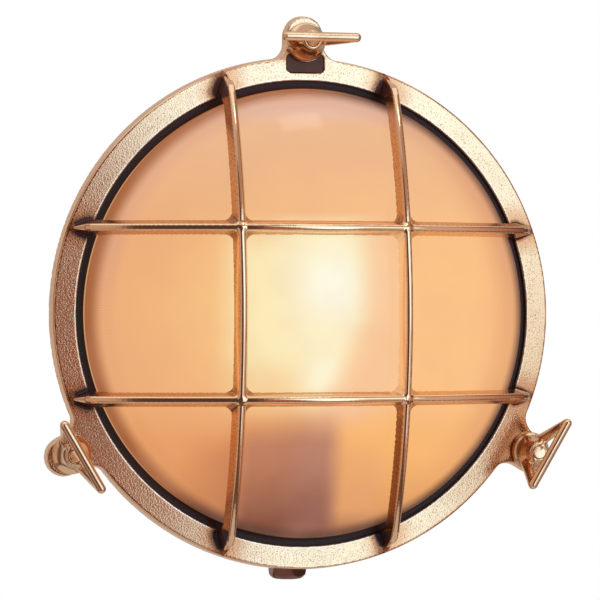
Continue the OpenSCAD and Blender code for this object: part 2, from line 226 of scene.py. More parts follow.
def lathe(profile, segments, closed):
    """Verts and faces of a profile [(r, h)] turned about the light's axis. An open profile starts and ends on the axis."""
    prof = np.asarray(profile, float)
    a = np.arange(segments) * 2 * math.pi / segments
    if closed:
        m = len(prof)
        v = np.stack([prof[None, :, 0] * np.cos(a)[:, None], prof[None, :, 0] * np.sin(a)[:, None],
                      np.repeat(prof[None, :, 1], segments, 0)], -1).reshape(-1, 3)
        i, j = np.meshgrid(np.arange(segments), np.arange(m), indexing="ij")
        i2, j2 = (i + 1) % segments, (j + 1) % m
        q = np.stack([i * m + j, i2 * m + j, i2 * m + j2, i * m + j2], -1).reshape(-1, 4)
        return v, [q]
    inner = prof[1:-1]
    m = len(inner)
    v = np.stack([inner[None, :, 0] * np.cos(a)[:, None], inner[None, :, 0] * np.sin(a)[:, None],
                  np.repeat(inner[None, :, 1], segments, 0)], -1).reshape(-1, 3)
    v = np.concatenate([v, [[0, 0, prof[0, 1]], [0, 0, prof[-1, 1]]]])
    i, j = np.meshgrid(np.arange(segments), np.arange(m - 1), indexing="ij")
    i2 = (i + 1) % segments
    q = np.stack([i * m + j, i2 * m + j, i2 * m + j + 1, i * m + j + 1], -1).reshape(-1, 4)
    s = np.arange(segments)
    s2 = (s + 1) % segments
    top = np.stack([s2 * m, s * m, np.full(segments, len(v) - 2)], -1)
    end = np.stack([s * m + m - 1, s2 * m + m - 1, np.full(segments, len(v) - 1)], -1)
    return v, [q, top, end]


def outward(verts, faces):
    """The faces, turned so that the closed mesh's volume is positive."""
    vol = 0.0
    for f in faces:
        a = verts[f[:, 0]]
        for k in range(1, f.shape[1] - 1):
            vol += np.einsum("ij,ij->", a, np.cross(verts[f[:, k]], verts[f[:, k + 1]]))
    return faces if vol > 0 else [f[:, ::-1] for f in faces]


# ---------------------------------------------------------------- node helper
class Val:
    """A number in a node tree, with arithmetic."""

    def __init__(self, tree, socket):
        self.tree, self.socket = tree, socket

    def op(self, kind, *others, clamp=False):
        node = self.tree.nodes.new("ShaderNodeMath")
        node.operation = kind
        node.use_clamp = clamp
        self.tree.links.new(self.socket, node.inputs[0])
        for k, other in enumerate(others):
            put(self.tree, node.inputs[k + 1], other)
        return Val(self.tree, node.outputs[0])

    def __add__(self, o): return self.op("ADD", o)
    def __radd__(self, o): return self.op("ADD", o)
    def __sub__(self, o): return self.op("SUBTRACT", o)
    def __mul__(self, o): return self.op("MULTIPLY", o)
    def __rmul__(self, o): return self.op("MULTIPLY", o)
    def __truediv__(self, o): return self.op("DIVIDE", o)
    def __neg__(self): return self.op("MULTIPLY", -1.0)
    def __rsub__(self, o): return (-self).op("ADD", o)
    def abs(self): return self.op("ABSOLUTE")
    def sqrt(self): return self.op("SQRT")
    def sin(self): return self.op("SINE")
    def max(self, o): return self.op("MAXIMUM", o)
    def min(self, o): return self.op("MINIMUM", o)

    def smooth(self, a, b, lo=0.0, hi=1.0):
        node = self.tree.nodes.new("ShaderNodeMapRange")
        node.interpolation_type = "SMOOTHSTEP"
        self.tree.links.new(self.socket, node.inputs["Value"])
        if a > b:
            a, b, lo, hi = b, a, hi, lo
        for key, value in (("From Min", a), ("From Max", b), ("To Min", lo), ("To Max", hi)):
            node.inputs[key].default_value = value
        return Val(self.tree, node.outputs["Result"])

    def line(self, a, b, lo=0.0, hi=1.0):
        node = self.tree.nodes.new("ShaderNodeMapRange")
        self.tree.links.new(self.socket, node.inputs["Value"])
        for key, value in (("From Min", a), ("From Max", b), ("To Min", lo), ("To Max", hi)):
            node.inputs[key].default_value = value
        return Val(self.tree, node.outputs["Result"])

    def bell(self, centre, width):
        """exp(-((x - centre) / width)^2)"""
        z = (self - centre) * (1.0 / width)
        return (-(z * z)).op("EXPONENT")


def put(tree, socket, value):
    if isinstance(value, Val):
        tree.links.new(value.socket, socket)
    elif isinstance(value, bpy.types.NodeSocket):
        tree.links.new(value, socket)
    elif isinstance(value, (tuple, list)):
        socket.default_value = (*value, 1.0) if len(value) == 3 and len(socket.default_value) == 4 else value
    else:
        socket.default_value = value


def lin(r, g, b):
    """A colour given in display values 0 to 255."""
    return tuple((c / 12.92 if c <= 0.04045 else ((c + 0.055) / 1.055) ** 2.4) for c in (r / 255, g / 255, b / 255))


class Mat:
    """A Principled material and the nodes that feed it."""

    def __init__(self, name, **sockets):
        self.mat = bpy.data.materials.new(name)
        self.mat.use_nodes = True
        self.tree = self.mat.node_tree
        self.shader = next(n for n in self.tree.nodes if n.type == "BSDF_PRINCIPLED")
        self.coord = self.tree.nodes.new("ShaderNodeTexCoord")
        self.split = None
        for key, value in sockets.items():
            self.set(key.replace("_", " "), value)

    def set(self, key, value):
        put(self.tree, self.shader.inputs[key], value)

    def xyz(self):
        if self.split is None:
            self.split = self.tree.nodes.new("ShaderNodeSeparateXYZ")
            self.tree.links.new(self.coord.outputs["Object"], self.split.inputs[0])
        return [Val(self.tree, self.split.outputs[k]) for k in range(3)]

    def noise(self, scale, detail=2.0, rough=0.5, distortion=0.0, kind="noise", stretch=None):
        node = self.tree.nodes.new("ShaderNodeTexNoise" if kind == "noise" else "ShaderNodeTexVoronoi")
        source = self.coord.outputs["Object"]
        if stretch is not None:
            mapping = self.tree.nodes.new("ShaderNodeMapping")
            mapping.inputs["Scale"].default_value = stretch
            self.tree.links.new(source, mapping.inputs["Vector"])
            source = mapping.outputs["Vector"]
        self.tree.links.new(source, node.inputs["Vector"])
        node.inputs["Scale"].default_value = scale
        if kind == "noise":
            node.inputs["Detail"].default_value = detail
            node.inputs["Roughness"].default_value = rough
            node.inputs["Distortion"].default_value = distortion
            return Val(self.tree, node.outputs[0])
        return Val(self.tree, node.outputs["Distance"])

    def attr(self, name):
        node = self.tree.nodes.new("ShaderNodeAttribute")
        node.attribute_name = name
        return Val(self.tree, node.outputs["Fac"])

    def normal_xyz(self):
        geo = self.tree.nodes.new("ShaderNodeNewGeometry")
        split = self.tree.nodes.new("ShaderNodeSeparateXYZ")
        self.tree.links.new(geo.outputs["Normal"], split.inputs[0])
        return [Val(self.tree, split.outputs[k]) for k in range(3)]

    def mix(self, fac, a, b):
        node = self.tree.nodes.new("ShaderNodeMix")
        node.data_type = "RGBA"
        put(self.tree, node.inputs[0], fac)
        put(self.tree, node.inputs[6], a)
        put(self.tree, node.inputs[7], b)
        return node.outputs[2]

    def bump(self, height, distance, strength=1.0, after=None):
        node = self.tree.nodes.new("ShaderNodeBump")
        put(self.tree, node.inputs["Height"], height)
        put(self.tree, node.inputs["Distance"], distance)
        put(self.tree, node.inputs["Strength"], strength)
        if after is not None:
            self.tree.links.new(after, node.inputs["Normal"])
        self.tree.links.new(node.outputs[0], self.shader.inputs["Normal"])
        return node.outputs[0]


# ---------------------------------------------------------------- materials
def cast_metal(name, light, dark, use_attr, rough=0.10, grain=0.000011):
    """Sand-cast bronze, with a fine stipple, polished where the attributes say so; its colour is darkened on the
    marking panel and by painted shade, and lightened by a painted highlight on the rims.
    """
    m = Mat(name, Metallic=1.0)
    fine, coarse, cloud = m.noise(2600, 2.0, 0.6), m.noise(1500, 1.5, 0.5), m.noise(60, 3.0, 0.6)
    # sharp-edged bumps and pits, with the metal flat between them
    height = coarse.smooth(0.53, 0.66) - coarse.smooth(0.45, 0.33) * 0.8 + fine * 0.35
    rough_v = cloud.line(0.3, 0.7, rough - 0.02, rough + 0.03)
    tone = cloud.smooth(0.40, 0.70) * 0.10 + coarse.smooth(0.43, 0.32) * 0.7
    if not use_attr:
        m.set("Roughness", rough_v)
        m.bump(height, grain, 1.0)
        m.set("Base Color", m.mix(tone, light, dark))
        return m.mat
    polish, panel_and_shade, rim = m.attr("polish"), m.attr("panel_and_shade"), m.attr("rim")
    matt = 1.0 - polish.max(rim)
    m.set("Roughness", (rough_v * matt + 0.09 * polish) + panel_and_shade * 0.25 + rim * 0.30)
    m.bump(height, grain, matt * 0.94 + 0.06)
    # painted warm shade: browner near the bars, round the lower lugs and on the left side
    metal = m.mix(tone * matt, m.mix(m.attr("warm_shade"), light, tuple(a * b for a, b in zip(light, (0.82, 0.55, 0.42)))), dark)
    # painted shade: dark brown on the bars' flanks, at their roots and round the lower lugs, where the marking panel is
    # also dark
    panel_and_shade_amount = (panel_and_shade * 1.4 * (coarse.smooth(0.62, 0.38) * 0.5 + 0.75)).min(1.0)
    metal = m.mix(panel_and_shade_amount, metal, (0.25, 0.085, 0.032))
    # painted highlight: a cream line along the rims and down one flank
    metal = m.mix(rim, metal, (1.0, 0.86, 0.68))
    # painted near-black shade in the deepest corners at the bars' roots, and the unpolished panel
    x, y, z = m.xyz()
    scale = m.mix(z.smooth(-0.06, 0.06), (0.030, 0.019, 0.026), (0.075, 0.028, 0.028))
    scale = m.mix(x.abs().smooth(0.014, 0.012), scale, (0.12, 0.045, 0.025))
    deep_shade_and_panel = (panel_and_shade + (coarse - 0.5) * 0.7).smooth(0.58, 0.86)
    m.set("Base Color", m.mix(deep_shade_and_panel, metal, scale))
    m.set("Metallic", 1.0 - deep_shade_and_panel * 0.6)
    return m.mat


def polished_metal(name, light, dark, rough=0.13):
    m = Mat(name, Metallic=1.0)
    smear = m.noise(260, 3.0, 0.6)
    fine = m.noise(2200, 2.0, 0.6)
    cloud = m.noise(90, 2.0, 0.5)
    m.set("Base Color", m.mix(cloud.smooth(0.35, 0.75) * 0.5, light, dark))
    m.set("Roughness", smear.line(0.3, 0.7, rough - 0.03, rough + 0.08))
    m.bump(fine * 0.5 + smear * 0.5, 0.001, 0.02)
    return m.mat


LIGHT_BRONZE, DARK_BRONZE = (0.93, 0.62, 0.38), (0.42, 0.20, 0.11)
cast_front = cast_metal("cast_front", LIGHT_BRONZE, DARK_BRONZE, True)
cast_back = cast_metal("cast_back", (0.80, 0.54, 0.34), (0.45, 0.25, 0.14), False, rough=0.38, grain=0.00012)
polished = polished_metal("polished_bronze", (0.93, 0.64, 0.40), (0.70, 0.41, 0.23), rough=0.17)
bright_brass = polished_metal("bright_brass", (0.90, 0.72, 0.42), (0.78, 0.55, 0.28), rough=0.22)
dark_brass = polished_metal("darkened_brass", (0.24, 0.125, 0.105), (0.15, 0.075, 0.06), rough=0.26)
steel = polished_metal("zinc_steel", (0.74, 0.76, 0.77), (0.58, 0.60, 0.61), rough=0.3)


def rubber():
    m = Mat("black_rubber", Roughness=0.55)
    fine, cloud = m.noise(1800, 2.0, 0.6), m.noise(120, 2.0, 0.5)
    x, y, z = m.xyz()
    # painted shade: the rubber darker on the left, browner towards the right
    side_shade_tint = m.mix((x * 1000.0).smooth(-105, -55), lin(30, 25, 27), lin(62, 37, 33))
    m.set("Base Color", m.mix(cloud.smooth(0.3, 0.7) * 0.3, side_shade_tint, lin(40, 29, 26)))
    m.set("Roughness", fine.line(0.3, 0.7, 0.45, 0.62))
    m.bump(fine, 0.001, 0.05)
    return m.mat


def porcelain(name, colour, rough):
    m = Mat(name)
    cloud, fine = m.noise(70, 2.0, 0.5), m.noise(900, 2.0, 0.5)
    m.set("Base Color", m.mix(cloud.smooth(0.35, 0.7) * 0.4, colour, tuple(c * 0.86 for c in colour)))
    m.set("Roughness", cloud.line(0.3, 0.7, rough, rough + 0.12))
    m.bump(fine, 0.001, 0.015)
    return m.mat


def sleeve(name, colour):
    m = Mat(name, Roughness=0.75)
    x, y, z = m.xyz()
    weave = (x * 5200.0).sin() * (z * 5200.0).sin()
    m.set("Base Color", m.mix(weave.smooth(-1, 1) * 0.5, colour, tuple(c * 0.6 for c in colour)))
    m.bump(weave, 0.001, 0.1)
    return m.mat


def glass():
    # painted light: the emission colour paints the lamp's glow through the frosting, the lampholder's shadow, the
    # darkening shoulder, a bead of light and a sheen along the top
    m = Mat("frosted_glass", Roughness=0.08, IOR=1.45, Specular_IOR_Level=0.22)
    x, y, z = m.xyz()
    x, y, z = x * 1000.0, y * 1000.0, z * 1000.0
    r = (x * x + z * z).sqrt()
    # the lamp behind the frosting: an even orange, paler above, redder below, brighter towards the right
    body = m.mix(x.smooth(-78, 40), lin(240, 175, 121), lin(254, 197, 135))
    body = m.mix(x.bell(-32, 42) * z.bell(2, 40) * 0.85, body, lin(254, 205, 138))
    body = m.mix(z.smooth(18, 92), body, lin(239, 187, 143))
    # painted reflection: a pale lilac sheen along the top
    body = m.mix(z.smooth(86, 96) * 0.8, body, lin(234, 194, 174))
    low = z.smooth(-34, -64)
    body = m.mix(low, body, m.mix(x.smooth(-50, 30), lin(237, 163, 104), lin(253, 187, 114)))
    body = m.mix(z.smooth(-60, -100) * 0.5, body, lin(200, 126, 80))
    # the glow of the lamp, with its halo to the left
    slant = x + (-3.0 - z).max(0.0) * 0.5
    glow = x.smooth(-54, -30) * slant.smooth(36, 10) * z.smooth(48, 36) * z.smooth(-54, -32)
    glow = glow * (1.0 - x.smooth(0, -24) * z.smooth(-14, -36) * 0.55) * (1.0 - x.smooth(-5, -32) * z.smooth(24, 42) * 0.6)
    body = m.mix(glow * 0.94, body, m.mix(x.smooth(-34, -4), lin(255, 240, 188), lin(255, 242, 196)))
    hot = x.bell(5, 17) * z.bell(13, 17) + x.bell(1, 9) * z.bell(-28, 10) * 0.5
    body = m.mix((hot * glow).min(1.0), body, lin(255, 253, 230))
    pale = slant.smooth(14, 30) * x.smooth(48, 40) * z.smooth(46, 36) * z.smooth(-48, -36)
    body = m.mix(pale * 0.6, body, lin(251, 205, 163))
    body = m.mix(x.bell(14, 13) * z.bell(-44, 6) * 0.5, body, lin(246, 200, 172))
    # the shade of the lampholder
    shade, along = x.smooth(-46, -30) * x.smooth(15, 2), x.smooth(-26, 2)
    late = z + x.smooth(-6, -30) * 3.0
    body = m.mix(x.smooth(3, 10) * x.smooth(38, 24) * z.smooth(-52, -72) * 0.5, body, lin(232, 164, 112))
    body = m.mix(shade * late.smooth(-40, -62), body, m.mix(along, lin(190, 124, 92), lin(187, 131, 108)))
    body = m.mix(shade * late.smooth(-62, -98), body, m.mix(along, lin(132, 76, 53), lin(150, 96, 81)))
    body = m.mix(x.smooth(0, 12) * z.smooth(-90, -104) * 0.6, body, lin(120, 70, 48))
    body = m.mix(x.smooth(-70, -42) * x.smooth(-30, -42) * z.smooth(-50, -70) * 0.6, body, lin(192, 118, 78))
    # the shoulder, which darkens to its edge, and less so on the left
    body = m.mix(r.smooth(92, 99.5) * z.smooth(-20, 30) * 0.5, body, lin(222, 166, 140))
    body = m.mix(r.smooth(82, 100) * x.smooth(40, 90) * 0.6, body, lin(226, 160, 112))
    dim = x.smooth(-10, 36).max(z.smooth(-78, -96))
    body = m.mix(r.smooth(99.2, 105.5), body, m.mix(dim, lin(165, 99, 58), lin(90, 55, 42)))
    # the bead of light along the rubber
    bead = r.smooth(105.3, 105.8) * y.smooth(-62.8, -61.2)
    body = m.mix(bead * 0.85, body, m.mix(x.smooth(-50, -90), lin(110, 68, 50), lin(212, 162, 118)))    # fine flutes inside the shoulder
    ang = m.tree.nodes.new("ShaderNodeMath")
    ang.operation = "ARCTAN2"
    put(m.tree, ang.inputs[0], x)
    put(m.tree, ang.inputs[1], z)
    flute = (Val(m.tree, ang.outputs[0]) * 560.0).sin()
    zone = r.smooth(92, 97) * r.smooth(104, 102) * x.smooth(-20, -60) * z.smooth(60, 20)
    body = m.mix((flute * 0.5 + 0.5) * zone * 0.14, body, lin(168, 96, 60))
    cloud = m.noise(45, 2.0, 0.5)
    body = m.mix(cloud.smooth(0.3, 0.75) * 0.12, body, lin(220, 160, 130))
    m.set("Emission Color", body)
    m.set("Emission Strength", 0.95)
    m.set("Base Color", lin(60, 42, 33))
    m.bump(m.noise(30, 1.0, 0.5), 0.001, 0.06)
    return m.mat


glass_mat, rubber_mat = glass(), rubber()
porcelain_mat = porcelain("porcelain", (0.86, 0.84, 0.79), 0.18)
plastic_mat = porcelain("white_plastic", (0.80, 0.79, 0.75), 0.4)


def lamp():
    m = Mat("lamp_glass", IOR=1.5, Coat_Weight=0.6, Coat_Roughness=0.05)
    x, y, z = m.xyz()
    cap = z.smooth(-0.0395, -0.0405)
    cloud = m.noise(60, 2.0, 0.5)
    m.set("Base Color", m.mix(cap, (0.92, 0.88, 0.78), (0.80, 0.62, 0.36)))
    m.set("Metallic", cap)
    m.set("Roughness", cloud.line(0.3, 0.7, 0.2, 0.32))
    m.set("Emission Color", m.mix(z.smooth(-0.036, 0.0), (0.9, 0.62, 0.34), (1.0, 0.86, 0.62)))
    m.set("Emission Strength", (1.0 - cap) * 1.1)
    m.bump((z * 1750.0).sin() * cap, 0.001, 0.25)
    return m.mat


# ---------------------------------------------------------------- the front casting: ring, lugs and cage
RING_RISE = 0.6     # the face slopes up by this much towards the opening


def face(r):
    return FACE_H + RING_RISE * (119.6 - r) / 9.1


RING_PROFILE = [(114, BACK_H), (121.6, BACK_H), (120.75, 61.1), (120.5, 61.65), (120.0, 61.97), (119.6, 62), (110.6, face(110.6)), (110.15, face(110.6) - 0.15), (110, 62.1), (110, 60), (114, 60)]
ring_table = Table((98, 134), (42, 76), 0.1, lambda r, h: poly_sdf(r, h, RING_PROFILE))


def ridge(t):
    return RIDGE_C + np.sqrt(BEND_R ** 2 - np.asarray(t, float) ** 2)


def under(t):
    return RIDGE_C + np.sqrt((BEND_R - BAR_DEPTH) ** 2 - np.asarray(t, float) ** 2)


FRONT_LINE = [(t, float(ridge(t))) for t in np.linspace(0, 103, 42)] + [(106.3, float(ridge(106.3)) - 0.6), (108.2, 74.5), (112.4, 61)]
BACK_LINE = [(103.2, 61), (102.9, 67), (101.4, 71.5)] + [(t, float(under(t))) for t in np.linspace(97, 0, 38)]
MIRROR = [(-t, h) for t, h in BACK_LINE[::-1]] + [(-t, h) for t, h in FRONT_LINE[::-1]]
side_table = Table((0, 124), (50, 114), 0.12, lambda t, h: poly_sdf(t, h, FRONT_LINE + BACK_LINE + MIRROR[1:-1]))


def depth_from_front(t, h):
    line = FRONT_LINE + [(115.0, 52.6)]
    d2 = np.full(t.shape, 1e9)
    for (ax, ay), (bx, by) in zip(line[:-1], line[1:]):
        ex, ey = bx - ax, by - ay
        u = np.clip(((t - ax) * ex + (h - ay) * ey) / (ex * ex + ey * ey), 0, 1)
        d2 = np.minimum(d2, (t - ax - ex * u) ** 2 + (h - ay - ey * u) ** 2)
    return np.sqrt(d2)


depth_table = Table((0, 124), (50, 114), 0.12, depth_from_front)


def bar(t, u, h):
    """Signed distance to one bar, and the depth behind its front edge."""
    t = np.abs(t)
    s, d = side_table(t, h), depth_table(t, h)
    w = 1.4 - 0.7 * step01(t, 107.5, 112.5) + (0.318 - 0.08 * step01(t, 106, 110)) * np.clip(d, 0, 7)
    s = s + 0.38 * np.clip(np.abs(u) / 1.4, 0, 1) ** 2 * step01(d, 3.0, 0.5)
    return cut(s, (np.abs(u) - w) * 0.953, 0.4), d


def lug_outline(r, w, f, reach):
    fy = math.sqrt((r + f) ** 2 - (w + f) ** 2)
    a0, a1 = math.atan2(-(w + f), -fy), -math.pi / 2
    if a0 > a1:
        a0 -= 2 * math.pi
    arc = [(fy + f * math.cos(a), (w + f) + f * math.sin(a)) for a in np.linspace(a0, a1, 20)]
    tip = [(reach + w * math.cos(a), w * math.sin(a)) for a in np.linspace(math.pi / 2, 0, 24)]
    half = [(r - 11, arc[0][1])] + arc + tip
    return half + [(x, -y) for x, y in half[::-1][1:]]


lug_tables = {side: Table((100, 146), (-24, 24), 0.12, lambda x, y, s=stud: poly_sdf(x, y, lug_outline(RING_R, 8.5, 10, s)))
              for side, stud in ((k, math.hypot(*v) + LUG_PAST[k]) for k, v in STUDS.items())}


def lug_local(p, stud):
    n = math.hypot(*stud)
    c, s = stud[0] / n, stud[1] / n
    return p[:, 0] * c + p[:, 1] * s, -p[:, 0] * s + p[:, 1] * c


def cage_parts(p):
    x, y, h = p[:, 0], p[:, 1], p[:, 2]
    r = np.hypot(x, y)
    ring = ring_table(r, h)
    for side, stud in STUDS.items():
        a, b = lug_local(p, stud)
        n = math.hypot(*stud)
        flat = lug_tables[side](a, b) - 0.12 * (62 - h)
        lug = np.maximum(cut(flat, h - face(r), 0.6), BACK_H - h)
        lug = np.maximum(lug, 117.0 - r)
        near = np.maximum(np.maximum(join(ring, lug, 0.6), h - face(r)), BACK_H - h)
        seat = cut(np.hypot(a - n, b) - 8.8, h - FACE_H, 0.3)
        near = np.minimum(near, np.maximum(np.maximum(seat, flat + 0.1), 58.0 - h))
        ring = np.where(a > 90, near, ring)
    bars = []
    for off in (-BAR_OFF, BAR_OFF):
        bars.append(bar(y, x - off, h))
        bars.append(bar(x, y - off, h))
    (v0, dv0), (h0, dh0), (v1, dv1), (h1, dh1) = bars
    upright = np.where(v0 < v1, v0, v1)
    level = np.where(h0 < h1, h0, h1)
    depth = np.minimum(np.where(v0 < v1, dv0, dv1), np.where(h0 < h1, dh0, dh1))
    fillet = 1.2 + 0.36 * np.clip(depth, 0, 6)
    cage = join(upright, level, fillet)
    return ring, cage, depth


def panel_sdf(p):
    """The plain panel under the top lug, in plan."""
    qx, qy = np.abs(p[:, 0]) - 9.2 + 2.2, np.abs(p[:, 1] - 118.25) - 4.35 + 2.2
    return np.hypot(np.maximum(qx, 0), np.maximum(qy, 0)) + np.minimum(np.maximum(qx, qy), 0) - 2.2


def cage_sdf(p):
    h = p[:, 2]
    ring, cage, depth = cage_parts(p)
    d = join(ring, cage, 0.9)
    d = np.maximum(d, np.minimum(110.0 - np.hypot(p[:, 0], p[:, 1]), 61.0 - h))
    for stud in STUDS.values():
        d = np.maximum(d, 3.3 - np.hypot(p[:, 0] - stud[0], p[:, 1] - stud[1]))
    return cut(d, -np.maximum(panel_sdf(p), 61.1 - h), 0.25)


def finish_and_shade_at(p):
    """Where the casting is polished (the bars' front edges, the crossings and the rims) and where the marking panel is
    left dark, with painted shade at the bars' roots, on their flanks and round the lower lugs, a painted highlight on
    the rims and a painted warm shade."""
    ring, cage, depth = cage_parts(p)
    x, y, h = p[:, 0], p[:, 1], p[:, 2]
    r = np.hypot(x, y)
    on_bar = step01(h, 62.9, 64.0) * step01(depth, 0.75, 0.2) * step01(cage, 1.2, 0.5)
    rim = step01(np.abs(r - 110.25), 0.75, 0.35) * step01(h, 61.0, 61.6) * step01(cage, 1.5, 2.4)
    # painted highlight: the right upright's flank between the crossings, as if lit by the lamp's glow
    lit = step01(x, 30, 34) * step01(x, 39.4, 38.6) * step01(np.abs(y), 42, 36) * step01(depth, 0.7, 1.4) * step01(h, 88, 92)
    rim = np.maximum(rim, lit)
    outer = step01(np.abs(r - 120.4), 0.7, 0.3) * 0.7 * step01(h, 60.4, 61.0)
    knob = step01(np.hypot(np.abs(x) - BAR_OFF, np.abs(y) - BAR_OFF), 3.6, 2.2) * step01(h, 96.0, 97.5)
    dark = step01(panel_sdf(p), 0.15, -0.25) * step01(h, 62.5, 61.6)
    # painted shade: dark corners at the bars' roots
    root = step01(r, 107.5, 110.0) * step01(np.minimum(np.abs(np.abs(x) - BAR_OFF), np.abs(np.abs(y) - BAR_OFF)), 7.5, 6.0)
    upright = np.abs(y) > np.abs(x)
    spread = np.where(upright, np.where(x < np.sign(x) * BAR_OFF, 2.8, 0.7), np.where(x < 0, 2.2, 1.2))
    root = root * step01(depth, 0.9, 1.5) * step01(h, 60.4, 61.2) * step01(cage / spread, 1.0, 0.5)
    root = root * (1 - 0.8 * step01(x, 85, 95) * (~upright) * step01(h, 63.0, 63.8))
    # painted shade on the bars' flanks: less on the right upright between the crossings, more below its lower crossing
    # and near the crossings
    flank = step01(depth, 0.7, 1.3) * step01(h, 62.9, 64.0) * step01(cage, 1.2, 0.6) * 0.32
    flank = flank * (1 - 0.85 * step01(x, 30, 38) * step01(np.abs(y), 42, 34))
    flank = flank * (1 + 1.0 * step01(x, 30, 38) * step01(-y, 42, 50))
    corner = step01(np.maximum(np.abs(np.abs(x) - BAR_OFF), np.abs(np.abs(y) - BAR_OFF)), 8.0, 4.0)
    flank = flank + corner * step01(depth, 0.9, 1.8) * step01(h, 90, 92) * 0.22
    # painted brown shade round the roots and the lower lugs, and painted warm shade near the bars and on the left
    root_lug_shade = step01(cage / spread, 2.2, 0.7) * step01(h, 61.3, 61.9) * step01(h, 63.4, 62.9) * 0.6
    warm_shade = np.maximum(step01(cage, 12, 2) * 0.9, step01(x, -40, -95) * 0.2)
    for side, centre, much in (("left", 121, 0.1), ("right", 127, 0.06)):
        a, b = lug_local(p, STUDS[side])
        near = step01(np.hypot(a - centre, b * 0.8), 24, 9)
        root_lug_shade = np.maximum(root_lug_shade, near * step01(h, 60.9, 61.6) * step01(h, 63.4, 62.9) * much)
        warm_shade = np.maximum(warm_shade, near * (0.35 if side == "left" else 0.9))
    warm_shade = warm_shade * step01(h, 60.2, 61.0) * step01(h, 63.6, 62.9)
    dark = np.maximum(dark, np.maximum(np.maximum(root * 0.95, flank), root_lug_shade))
    return np.clip(np.maximum(np.maximum(on_bar, outer), knob), 0, 1) * (1 - dark), dark, rim * (1 - dark), warm_shade


def local_points(obj):
    co = np.empty(len(obj.data.vertices) * 3, np.float32)
    obj.data.vertices.foreach_get("co", co)
    co = co.reshape(-1, 3).astype(float) * 1000
    return np.stack([co[:, 0], co[:, 2], -co[:, 1]], -1)


def true_normals(obj, sdf, turn=None):
    """Shading normals from the shape itself, so that flat faces reflect flat."""
    p = local_points(obj)
    _, n = slope(sdf, p, 0.1)
    obj.data.normals_split_custom_set_from_vertices(np.stack([n[:, 0], -n[:, 2], n[:, 1]], -1))


STEP = 0.69
verts, quads = surface(cage_sdf, (-125.2, -125.2, 52.2), (126.1, 143.1, 104.2), STEP)
_, grad = slope(cage_sdf, verts)
verts = verts - grad * 0.03
cage = make("front_casting", verts, quads, "front", ["cage_ring"], cast_front)
# fewer faces where they can't be seen: the ring's back, the gasket's groove and the backs of the bars
p = local_points(cage)
r, h, depth = np.hypot(p[:, 0], p[:, 1]), p[:, 2], cage_parts(p)[2]
hidden = ((h < 59.4) & (r < 118.5)) | (h < 54.9) | ((np.abs(h - 60) < 0.3) & (r > 110.8) & (r < 114.5)) | ((depth > 6.3) & (h > 66))
cage.vertex_groups.new(name="hidden").add(np.nonzero(hidden)[0].tolist(), 1.0, "REPLACE")
thin = cage.modifiers.new("thin", "DECIMATE")
thin.ratio, thin.vertex_group = 0.735, "hidden"
bpy.context.view_layer.update()
thinned = bpy.data.meshes.new_from_object(cage.evaluated_get(bpy.context.evaluated_depsgraph_get()))
cage.modifiers.clear()
cage.vertex_groups.clear()
cage.data = thinned
true_normals(cage, cage_sdf)
for key, values in zip(("polish", "panel_and_shade", "rim", "warm_shade"), finish_and_shade_at(local_points(cage))):
    attribute(cage, key, values)

# ---------------------------------------------------------------- glass and gasket
SHOULDER = 8.0


def dome(r_face, shoulder, edge, n):
    zc = DOME_C + math.sqrt((r_face - shoulder) ** 2 - (edge - shoulder) ** 2)
    a = math.asin((edge - shoulder) / (r_face - shoulder))
    pts = [(r_face * math.sin(t), DOME_C + r_face * math.cos(t)) for t in np.linspace(0, a, n)]
    return pts + [(edge - shoulder + shoulder * math.sin(t), zc + shoulder * math.cos(t)) for t in np.linspace(a, math.pi / 2, n // 2)[1:]]


outer = dome(DOME_R, SHOULDER, GLASS_R, 56)
inner = dome(DOME_R - GLASS_T, SHOULDER - GLASS_T, GLASS_R - GLASS_T, 40)
profile = outer + [(106, 60), (106, 57.6), (106.3, 57.2), (110.6, 57.2), (111, 56.8), (111, 54), (110.6, 53.6), (102.4, 53.6), (102, 54)] + inner[::-1]
v, f = lathe(profile, 288, False)
make("glass", v, outward(v, f), "front", ["glass_dome"], glass_mat, sharp=40)
GASKET = [(106.05, 57.3), (106.05, 59.2), (106.25, 59.75), (106.8, 60), (113.2, 60), (113.8, 59.6), (114, 59), (114, 51.6), (113.5, 50.9), (104.7, 50.9), (104.2, 51.4), (104.2, 53.6), (111, 53.6), (111.0, 57.2)]
v, f = lathe(GASKET, 288, True)
make("gasket", v, outward(v, f), "front", ["glass_gasket"], rubber_mat, sharp=38)

# ---------------------------------------------------------------- wing nuts and studs
WING_H, WING = 30.4, 19.0
NUT_PROFILE = [(0, 0.05), (8.8, 0.05), (9.1, 0.3), (9.2, 0.8), (9.1, 1.3), (8.75, 1.7), (8.15, 2.2), (7.6, 2.9), (7.1, 3.8), (6.7, 4.6), (6.4, 5.4), (6.1, 6.2), (5.85, 7.2),
               (5.6, 8.2), (5.35, 9.0), (5.0, 9.6), (4.75, 10.2), (4.7, 11.0), (4.65, 11.8), (4.4, 12.2), (4.0, 12.4), (0, 12.4)]
nut_table = Table((0, 14), (-6, 20), 0.06, lambda r, z: poly_sdf(r, z, NUT_PROFILE + [(-x, z) for x, z in NUT_PROFILE[::-1]]))
loop_outer = [(-8.4, 1), (8.4, 1), (WING - 0.7, WING_H - 4.6), (WING, WING_H - 2.6), (WING - 0.4, WING_H - 0.9), (WING - 1.6, WING_H), (-WING + 1.6, WING_H), (-WING + 0.4, WING_H - 0.9), (-WING, WING_H - 2.6), (-WING + 0.7, WING_H - 4.6)]
loop_hole = [(-6.2, 12), (6.2, 12), (13.1, WING_H - 5.0), (12.4, WING_H - 3.8), (-12.4, WING_H - 3.8), (-13.1, WING_H - 5.0)]
loop_table = Table((-26, 26), (-8, 38), 0.1, lambda b, z: np.maximum(poly_sdf(b, z, loop_outer), -poly_sdf(b, z, loop_hole)))


